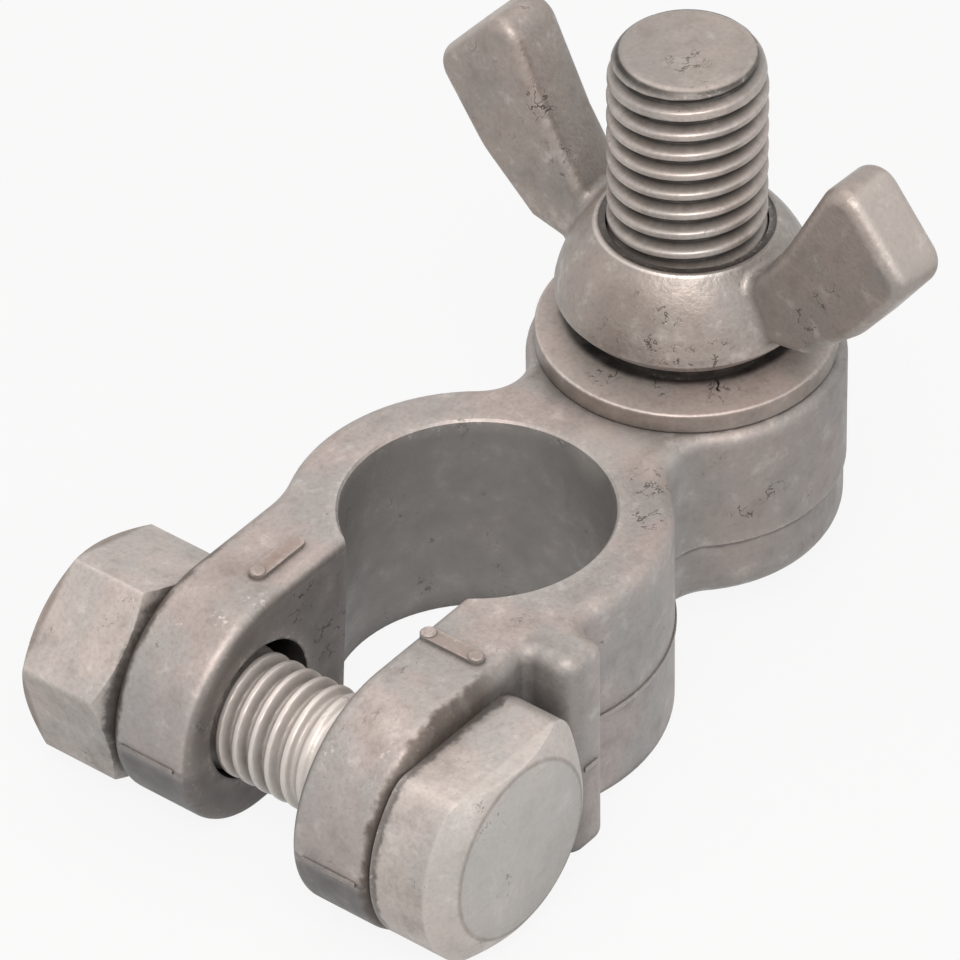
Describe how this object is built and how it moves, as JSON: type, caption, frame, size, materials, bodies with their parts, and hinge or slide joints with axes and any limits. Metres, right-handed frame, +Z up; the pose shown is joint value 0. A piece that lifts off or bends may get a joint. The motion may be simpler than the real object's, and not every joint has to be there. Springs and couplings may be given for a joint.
{
  "type": "battery terminal clamp",
  "caption": "Split-ring clamp for a battery post, with a pressed-in upright stud, washer and wing nut for a cable eye, and a bolt and nut across its ears.",
  "frame": {"origin": "on the axis of the post bore, in the plane of the ring's underside", "axes": "+Z up along the post bore, +X from the bore to the stud, +Y to the clamping nut"},
  "size_m": [0.055, 0.0377, 0.0377],
  "materials": {
    "casting": "tin plated, matt, stained",
    "stud": "tin plated, rolled thread",
    "washer": "plated, dull",
    "wing_nut": "tin plated, forged",
    "bolt": "plated, satin",
    "nut": "plated, satin"
  },
  "bodies": {
    "clamp": {"clamp_body": "casting", "stud": "stud"},
    "washer": {"washer": "washer"},
    "wing_nut": {"wing_nut": "wing_nut"},
    "bolt": {"clamp_bolt": "bolt"},
    "nut": {"clamp_nut": "nut"}
  },
  "joints": [
    {"name": "washer_lift", "type": "slide", "parent": "clamp", "child": "washer", "axis": [0, 0, 1], "range_m": [0, 0.009]},
    {"name": "wing_nut_turn", "type": "hinge", "parent": "washer", "child": "wing_nut", "pos_m": [0.0209, 0, 0.0208], "axis": [0, 0, 1], "range_deg": [0, 2160]},
    {"name": "bolt_slide", "type": "slide", "parent": "clamp", "child": "bolt", "axis": [0, -1, 0], "range_m": [0, 0.0025]},
    {"name": "nut_turn", "type": "hinge", "parent": "clamp", "child": "nut", "pos_m": [-0.01605, 0.01415, 0.0074], "axis": [0, 1, 0], "range_deg": [0, 720]}
  ],
  "couplings": [
    {"joint": "washer_lift", "follows": "wing_nut_turn", "m_per_rad": 0.0002387},
    {"joint": "nut_turn", "follows": "bolt_slide", "rad_per_m": 5026.5}
  ]
}
